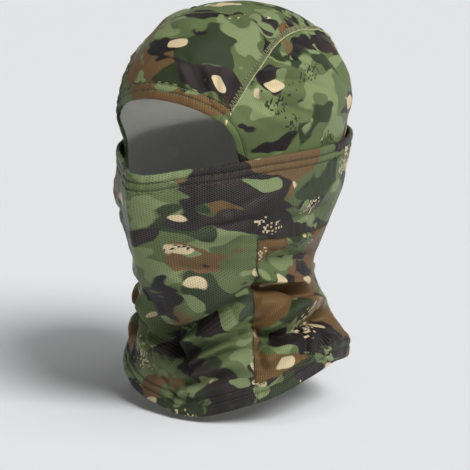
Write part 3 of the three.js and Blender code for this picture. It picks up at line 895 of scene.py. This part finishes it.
def band(name, points, plan, material, ring):
    """A profile carried along a hem. A ring's last station is its first again, so it is dropped."""
    if ring:
        points, plan = points[:-1], plan[:-1]
    return rope(name, points, angle_uv(plan), material, ring)


def hem(name, plan_at, out, rows, stations, width, thick, material, ring=False):
    """One folded hem: the thin U carried along its line."""
    points, plan = hem_points(plan_at, stations + ring, fold_profile(width, thick), out, rows)
    return band(name, points, plan, material, ring)


def hem_out(base, gather, spacing):
    """The cloth's height on a hem: the panel's own, plus gather * sin(2 pi arc / spacing + a drift)."""
    def out(plan):
        arc = np.radians(polar(plan)[0]) * HEAD_RADIUS
        return base(plan) + gather * np.sin(2 * np.pi * arc / spacing + 1.3 * np.sin(arc / 9))
    return out


brow_out, rim_out = hem_out(hood_out, 0.12, 6.5), hem_out(cover_out, 0.22, 6.5)
low_out = hem_out(cover_out, 0.12, 9)
brow_hem = hem("brow_hem_cloth", brow_at, brow_out, BROW_ROWS, 240, HEM, 2.6, hood_knit)
cover_hem = hem("cover_hem_cloth", cover_rim_at, rim_out, COVER_ROWS, 560, HEM, 2.6, mesh_knit, ring=True)
bottom_hem = hem("bottom_hem_cloth", bottom_rim_at, low_out, BOTTOM_ROWS, 620, BOTTOM_HEM, 2.2, mesh_knit,
                 ring=True)


def face_edge_at(hand):
    """From the opening's edge (across 0) towards the line where its hem is sewn (across 8)."""
    def at(t, across):
        place = between(along_points(FACE_EDGE, t), along_points(FACE_EDGE_INNER, t), across / 8)
        return flat(hand * place[..., 0], place[..., 1])
    return at


face_edges = [hem(f"face_edge_cloth_{k}", face_edge_at(hand), hood_out, (6.0,), 150, 8.4, 2.0, side_knit)
              for k, hand in HANDS]

# %% [markdown]
# ## Elastic
#
# The tape inside the brow hem and the cover hem is woven rubber, 8 mm wide. It lies in the middle of the
# fold and follows the same line and gathers.

# %% Elastic tapes
def tape(name, plan_at, out, stations, ring=False, low=2.2, high=10.2, deep=1.0, thick=0.5):
    """A flat bar from low to high across the hem, its outer face `deep` under the hem's."""
    middle = (low + high) / 2
    across = np.array([[low, middle, high, high, middle, low]])
    depth = np.array([[0, 0, 0, thick, thick, thick]]) + deep
    t = np.linspace(0, 1, stations + ring)[:, None]
    plan = plan_at(t + 0 * across, across + 0 * t)
    return band(name, lay(plan, out(plan) - depth), plan, elastic_tape, ring)


brow_elastic = tape("brow_tape", brow_at, brow_out, 120)
cover_elastic = tape("cover_tape", cover_rim_at, rim_out, 280, ring=True)

# %% [markdown]
# ## Face cover and neck
#
# The cover and the front of the neck are one T shaped cut: its arms reach round to a seam at the back, and
# its stem runs down the front to the hem. The panel below the arms is a separate cut.

# %% The T shaped front
def ring_grid(columns, rows_arm, rows_stem):
    """Angles round the head with the neck seams on grid lines; rows to the cross seam, then to the hem."""
    back = np.linspace(-180, -NECK_SEAM, columns)
    stem = np.linspace(-NECK_SEAM, NECK_SEAM, columns)
    angle = np.concatenate([back[:-1], stem[:-1], -back[::-1]])
    top = cover_top(angle)[:, None] + HEM - 1
    low = bottom_edge(angle)[:, None] - BOTTOM_HEM + 1
    arm = top + (CROSS_SEAM - top) * np.linspace(0, 1, rows_arm)[None, :]
    rest = CROSS_SEAM + (low - CROSS_SEAM) * np.linspace(0, 1, rows_stem)[None, 1:]
    reach = np.hstack([arm, rest])
    return flat(angle[:, None] + 0 * reach, reach), angle


ARM_ROWS, STEM_ROWS = 36, 110
front_plan, angles = ring_grid(130, ARM_ROWS, STEM_ROWS)
middle = (angles[:-1] + angles[1:]) / 2
front_keep = np.ones((len(angles) - 1, ARM_ROWS + STEM_ROWS - 2), bool)
front_keep[:, ARM_ROWS - 1:] = (np.abs(middle) < NECK_SEAM)[:, None]
uv = angle_uv(front_plan)
uv[0, :, 0] = -np.pi * HEAD_RADIUS * MM
uv[-1, :, 0] = np.pi * HEAD_RADIUS * MM
front_cloth = panel("front_cloth", front_plan, cover_out, uv, [mesh_knit, inner_knit], keep=front_keep)

# %% The back neck panel
u, v = grid(300, 100)
angle = NECK_SEAM + (360 - 2 * NECK_SEAM) * u
around = np.where(angle > 180, angle - 360, angle)
reach = CROSS_SEAM + (bottom_edge(around) - BOTTOM_HEM + 1 - CROSS_SEAM) * v
back_plan = flat(around, reach)
uv = np.stack([np.radians(angle) * HEAD_RADIUS, -reach], -1) * MM
back_cloth = panel("back_neck_cloth", back_plan, cover_out, uv, [back_knit, inner_knit])

# %% [markdown]
# ## Thread
#
# Hems are held by two rows of straight stitches, each a short arched piece of thread that dips into the
# cloth at both ends. Flatlock seams are a zigzag of thread across the join. One small shape is copied along
# a line of places on the cloth, so a row costs little.

# %% Rows of stitches
def spaced(line, pitch):
    """Points a fixed distance apart along a polyline of places in space, as fractions of its index."""
    step = np.linalg.norm(np.diff(line, axis=0), axis=1)
    far = np.concatenate([[0], np.cumsum(step)])
    return np.interp(np.arange(pitch / 2, far[-1], pitch), far, np.linspace(0, 1, len(line)))


def stitch_shape(length, radius, sides=6, rings=5):
    """A round bar with an arched middle: x along, z up by r (1.2 (1 - x^2) - 0.5), size r sqrt(1.05 - x^4)."""
    x = np.linspace(-1, 1, rings)
    size = radius * np.sqrt(np.clip(1.05 - x**4, 0.05, 1))
    rise = radius * (1.2 * (1 - x**2) - 0.5)
    turn = np.linspace(0, 2 * np.pi, sides, endpoint=False)
    across = size[:, None] * np.cos(turn)
    up = rise[:, None] + size[:, None] * np.sin(turn)
    bar = np.stack([x[:, None] * length / 2 + 0 * across, across, up], -1).reshape(-1, 3)
    index = np.arange(rings * sides).reshape(rings, sides)
    index = np.hstack([index, index[:, :1]])
    quads = cells(index).reshape(-1, 4)
    caps = np.array([index[0, [3, 2, 1, 0]], index[0, [5, 4, 3, 0]],
                     index[-1, [0, 1, 2, 3]], index[-1, [0, 3, 4, 5]]])
    return bar, np.concatenate([quads, caps])


def stitch_row(name, plan_line, out, material, pitch=2.7, length=2.1, radius=0.3):
    """plan_line(t) gives plan places; one stitch is laid at every pitch along the line, on the cloth."""
    t = np.linspace(0, 1, 900)
    line = plan_line(t)
    places = spaced(lay(line, out(line)), pitch)
    here, ahead = plan_line(places), plan_line(np.clip(places + 2e-4, 0, 1))
    point = lay(here, out(here))
    along = unit(lay(ahead, out(ahead)) - point)
    across = unit(np.cross(outward(here), along))
    up = np.cross(along, across)
    bar, quads = stitch_shape(length, radius)
    points = (point[:, None] + bar[None, :, :1] * along[:, None] + bar[None, :, 1:2] * across[:, None]
              + bar[None, :, 2:] * up[:, None])
    faces = (quads[None] + (np.arange(len(places)) * len(bar))[:, None, None]).reshape(-1, 4)
    uv = np.tile(bar[quads][..., :2] * MM, (len(places), 1, 1))
    return to_mesh(name, points.reshape(-1, 3), faces, uv, np.zeros(len(faces)), [material])


THREAD_SINK = 0.6


def stitch_rows(name, plan_at, out, rows, places, material):
    """A hem's rows, each at its own distance from the edge, sunk a little under the cloth's swell."""
    return [stitch_row(f"{name}_row_{place}", lambda t: plan_at(t, row + 0 * t),
                       lambda plan: out(plan) - THREAD_SINK, material) for place, row in zip(places, rows)]


brow_rows = stitch_rows("brow", brow_at, brow_out, BROW_ROWS, ("lower", "upper"), thread)
cover_rows = stitch_rows("cover", cover_rim_at, rim_out, COVER_ROWS, ("upper", "lower"), dark_thread)
bottom_rows = stitch_rows("bottom", bottom_rim_at, low_out, BOTTOM_ROWS, ("lower", "upper"), dark_thread)


# %% Flatlock zigzags
def zigzag(name, plan_at, out, material, length, width=4.6, pitch=2.1, radius=0.26, lift=0.15):
    """A thread that swings across the seam like a ladder: width/2 * clip(1.5 sin(2 pi turns t), -1, 1)."""
    turns = int(length / pitch)
    t = np.linspace(0, 1, turns * 8 + 1)
    swing = np.clip(1.5 * np.sin(2 * np.pi * turns * t), -1, 1)
    plan = plan_at(t, width / 2 * swing)
    line = lay(plan, out(plan) + lift + 0.12 * np.cos(2 * np.pi * turns * t) ** 2)
    along = unit(np.gradient(line, axis=0))
    side = unit(np.cross(outward(plan), along))
    up = np.cross(along, side)
    turn = np.linspace(0, 2 * np.pi, 5, endpoint=False)
    ring = side[:, None] * np.cos(turn)[None, :, None] + up[:, None] * np.sin(turn)[None, :, None]
    points = line[:, None] + radius * ring
    far = np.cumsum(np.concatenate([[0], np.linalg.norm(np.diff(line, axis=0), axis=1)]))
    uv = np.stack([far[:, None] + 0 * turn, 0 * far[:, None] + turn * radius], -1) * MM
    return rope(name, points, uv, material)


LADDER, JOINT = -2.5, 0.2   # where the ladder of thread and the joint's own cord lie across a crown seam


def crown_seam_at(hand, shift):
    """A line from the brow to the hood's hidden lower edge: x = strip edge + across + shift."""
    def at(t, across):
        y = -107 + (HOOD_BOTTOM - 4 + 107) * t
        return np.stack([hand * (strip_edge(y) + across + shift), y], -1)
    return at


def neck_seam_at(hand):
    """Straight down at the seam's angle, from the cross seam to the bottom hem."""
    def at(t, across):
        low = bottom_edge(hand * NECK_SEAM) - BOTTOM_HEM - 1
        reach = CROSS_SEAM + 2 + (low - CROSS_SEAM - 2) * t
        return flat(hand * (NECK_SEAM + across / 1.15), reach)
    return at


def cross_seam_at(t, across):
    """Round the back at the cross seam's reach, from one neck seam to the other."""
    angle = NECK_SEAM + (360 - 2 * NECK_SEAM) * t
    return flat(np.where(angle > 180, angle - 360, angle), CROSS_SEAM + across)


def back_seam_at(t, across):
    """Down the middle of the back, from the cover's hem to the cross seam."""
    reach = 172 + (CROSS_SEAM - 3 - 172) * t
    return flat(180 + np.degrees(across / 100), reach)


crown_seams = [zigzag(f"crown_seam_thread_{k}", crown_seam_at(hand, LADDER), hood_out, thread, 400,
                      width=4.8, pitch=3.5, radius=0.38, lift=0.3) for k, hand in HANDS]
crown_cords = [zigzag(f"crown_seam_cord_{k}", crown_seam_at(hand, JOINT), hood_out, cord_thread, 400,
                      width=0.5, pitch=1.3, radius=0.5, lift=0.1) for k, hand in HANDS]
neck_seams = [zigzag(f"neck_seam_thread_{k}", neck_seam_at(hand), cover_out, dark_thread, 112,
                     width=1.4, pitch=1.8, radius=0.16) for k, hand in HANDS]
cross_seam = zigzag("cross_seam_thread", cross_seam_at, cover_out, dark_thread, 330, 1.6, 2.0, 0.16)
back_seam = zigzag("back_seam_thread", back_seam_at, cover_out, thread, 52, 4.0, 2.1, 0.24)

# %% [markdown]
# ## Who moves with what
#
# The hood's pieces are attached to the hood body, which stays on the head. The cover, its hem and the neck
# are left where they lie, with their placement baked into their meshes. What stands for which imported node
# comes first.

# %% Bodies, nodes and finishes
HOOD, COVER = "hood", "face_cover"
hood_pieces = [
    (crown_panel, ["crown_panel"], "hood_knit"),
    (brow_hem, ["brow_hem"], "hem_knit"), (brow_elastic, ["brow_elastic"], "elastic"),
    (brow_rows[0], ["brow_stitch_lower"], "thread"), (brow_rows[1], ["brow_stitch_upper"], "thread"),
]
for k, (side, _) in enumerate(HANDS):
    hood_pieces += [(side_panels[k], [f"side_panel_{side}"], "hood_knit"),
                    (face_edges[k], [f"face_edge_hem_{side}"], "hem_knit"),
                    (crown_seams[k], [f"crown_seam_{side}"], "thread"), (crown_cords[k], [], "thread")]
outer_pieces = [
    (front_cloth, ["face_cover_panel", "neck_front_panel"], "mesh_knit"),
    (back_cloth, ["neck_back_panel"], "side_knit"),
    (cover_hem, ["cover_hem"], "hem_knit"), (cover_elastic, ["cover_elastic"], "elastic"),
    (cover_rows[0], ["cover_stitch_upper"], "thread"), (cover_rows[1], ["cover_stitch_lower"], "thread"),
    (bottom_hem, ["bottom_hem"], "hem_knit"),
    (bottom_rows[0], ["bottom_stitch_lower"], "thread"),
    (bottom_rows[1], ["bottom_stitch_upper"], "thread"),
    (neck_seams[0], ["neck_seam_left"], "thread"), (neck_seams[1], ["neck_seam_right"], "thread"),
    (cross_seam, ["cross_seam"], "thread"), (back_seam, ["cover_back_seam"], "thread"),
]
for piece, nodes, slot in hood_pieces + outer_pieces:
    for node in nodes:
        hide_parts(node)
for piece, _, _ in hood_pieces:
    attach(piece, HOOD)
for piece, _, _ in outer_pieces:
    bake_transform(piece)


# %% [markdown]
# ## What each cloth was cut to
#
# A worn hood is flat cloth, cut, sewn and stretched. Each panel's size as cut is printed: the box it fits
# in on the cutting table and its own area. The area is that of the worn cloth, folds and all, divided by 1.1,
# because the knit stretches by about a tenth when it is worn.

# %% Cut sizes
STRETCH = 1.10


def laid_area(plan, out, keep=None):
    """Sum over the grid's cells of half the length of the cross product of their diagonals, in m2."""
    place = lay(plan, out(plan)) * MM
    one, two = place[1:, 1:] - place[:-1, :-1], place[1:, :-1] - place[:-1, 1:]
    each = np.linalg.norm(np.cross(one, two), axis=-1) / 2
    return float(each.sum() if keep is None else each[keep].sum())


def cut(piece, plan, out, width, length, keep=None):
    """Print a panel's cut size, given in metres: the worn cloth's area over its stretch, in a box of width by
    length.
    """
    area = laid_area(plan, out, keep) / STRETCH
    print(f"{piece.name}: cut to {width * 1000:.0f} x {length * 1000:.0f} mm, {area * 1e4:.0f} cm2")
    area = min(area, width * length)


cut(crown_panel, crown_plan, hood_out, 0.150, 0.365)
cut(side_panels[0], side_plans[0], hood_out, 0.235, 0.205)
cut(side_panels[1], side_plans[1], hood_out, 0.235, 0.205)
cut(front_cloth, front_plan, cover_out, 0.500, 0.195, front_keep)
cut(back_cloth, back_plan, cover_out, 0.400, 0.110)

# %% [markdown]
# ## Floor, light and camera
#
# A pale floor and two broad, far lights, as in a small product studio: a key from the wearer's left and a
# weaker one overhead. The world is pale near the horizon, so that floor and backdrop meet softly, and dim
# above it, so that folds keep their shadows. The camera looks at the left front through a long lens.

# %% Studio
def from_angles(a, h):
    """The unit vector towards azimuth a and height h: (sin a cos h, -cos a cos h, sin h)."""
    return Vector((np.sin(a) * np.cos(h), -np.cos(a) * np.cos(h), np.sin(h)))


def sun(name, azimuth, height, strength, softness):
    """Light from far off: azimuth and height, in degrees, say where from, and softness how wide it is."""
    light = bpy.data.lights.new(name, "SUN")
    light.energy, light.angle = strength, np.radians(softness)
    coming_from = from_angles(np.radians(azimuth), np.radians(height))
    add_object(name, light).rotation_euler = coming_from.to_track_quat("Z", "Y").to_euler()


sun("key", 76, 44, 3.2, 26)
sun("top", 95, 70, 0.7, 45)

world = bpy.data.worlds.new("studio")
world.use_nodes = True
sky = world.node_tree
place = sky.nodes.new("ShaderNodeTexCoord")
height = sky.nodes.new("ShaderNodeSeparateXYZ")
shade = sky.nodes.new("ShaderNodeMapRange")
shade.interpolation_type = "SMOOTHSTEP"
for socket, value in {"From Min": 0.11, "From Max": 0.20, "To Min": 0.80, "To Max": 0.14}.items():
    shade.inputs[socket].default_value = value
sky.links.new(place.outputs["Generated"], height.inputs[0])
sky.links.new(height.outputs["Z"], shade.inputs["Value"])
sky.links.new(shade.outputs[0], sky.nodes["Background"].inputs["Strength"])
sky.nodes["Background"].inputs["Color"].default_value = (1, 1, 1, 1)
bpy.context.scene.world = world
bpy.context.scene.view_settings.view_transform = "Standard"

floor_mesh = bpy.data.meshes.new("floor")
half, level = 6.0, cad_box[0].z - 0.004
corners = [(-half, -half, level), (half, -half, level), (half, half, level), (-half, half, level)]
floor_mesh.from_pydata(corners, [], [(0, 1, 2, 3)])
paint = Nodes("floor_paint")
matt = paint.add("BsdfPrincipled", {"Base Color": ink(222, 223, 225), "Roughness": 0.9})
paint.add("OutputMaterial", {"Surface": matt})
floor_mesh.materials.append(paint.material)
add_object("floor", floor_mesh)

# %% Camera
AIM = Vector((0, 0, -0.15))
RIGHT_BY, UP_BY = 0.0016, -0.0334   # metres from there to the middle of the frame
AZIMUTH, ELEVATION, DISTANCE = np.radians(36), np.radians(11.6), 1.7
FIELD = 0.376   # metres seen across the frame at the object's distance
SENSOR = 36
back = from_angles(AZIMUTH, ELEVATION)
right = Vector((np.cos(AZIMUTH), np.sin(AZIMUTH), 0))
above = back.cross(right)
centre = AIM + right * RIGHT_BY + above * UP_BY
camera_data = bpy.data.cameras.new("camera")
camera_data.sensor_width = SENSOR
camera_data.lens = SENSOR * DISTANCE / FIELD
camera = add_object("camera", camera_data)
camera.location = centre + back * DISTANCE
camera.rotation_euler = back.to_track_quat("Z", "Y").to_euler()
bpy.context.scene.camera = camera
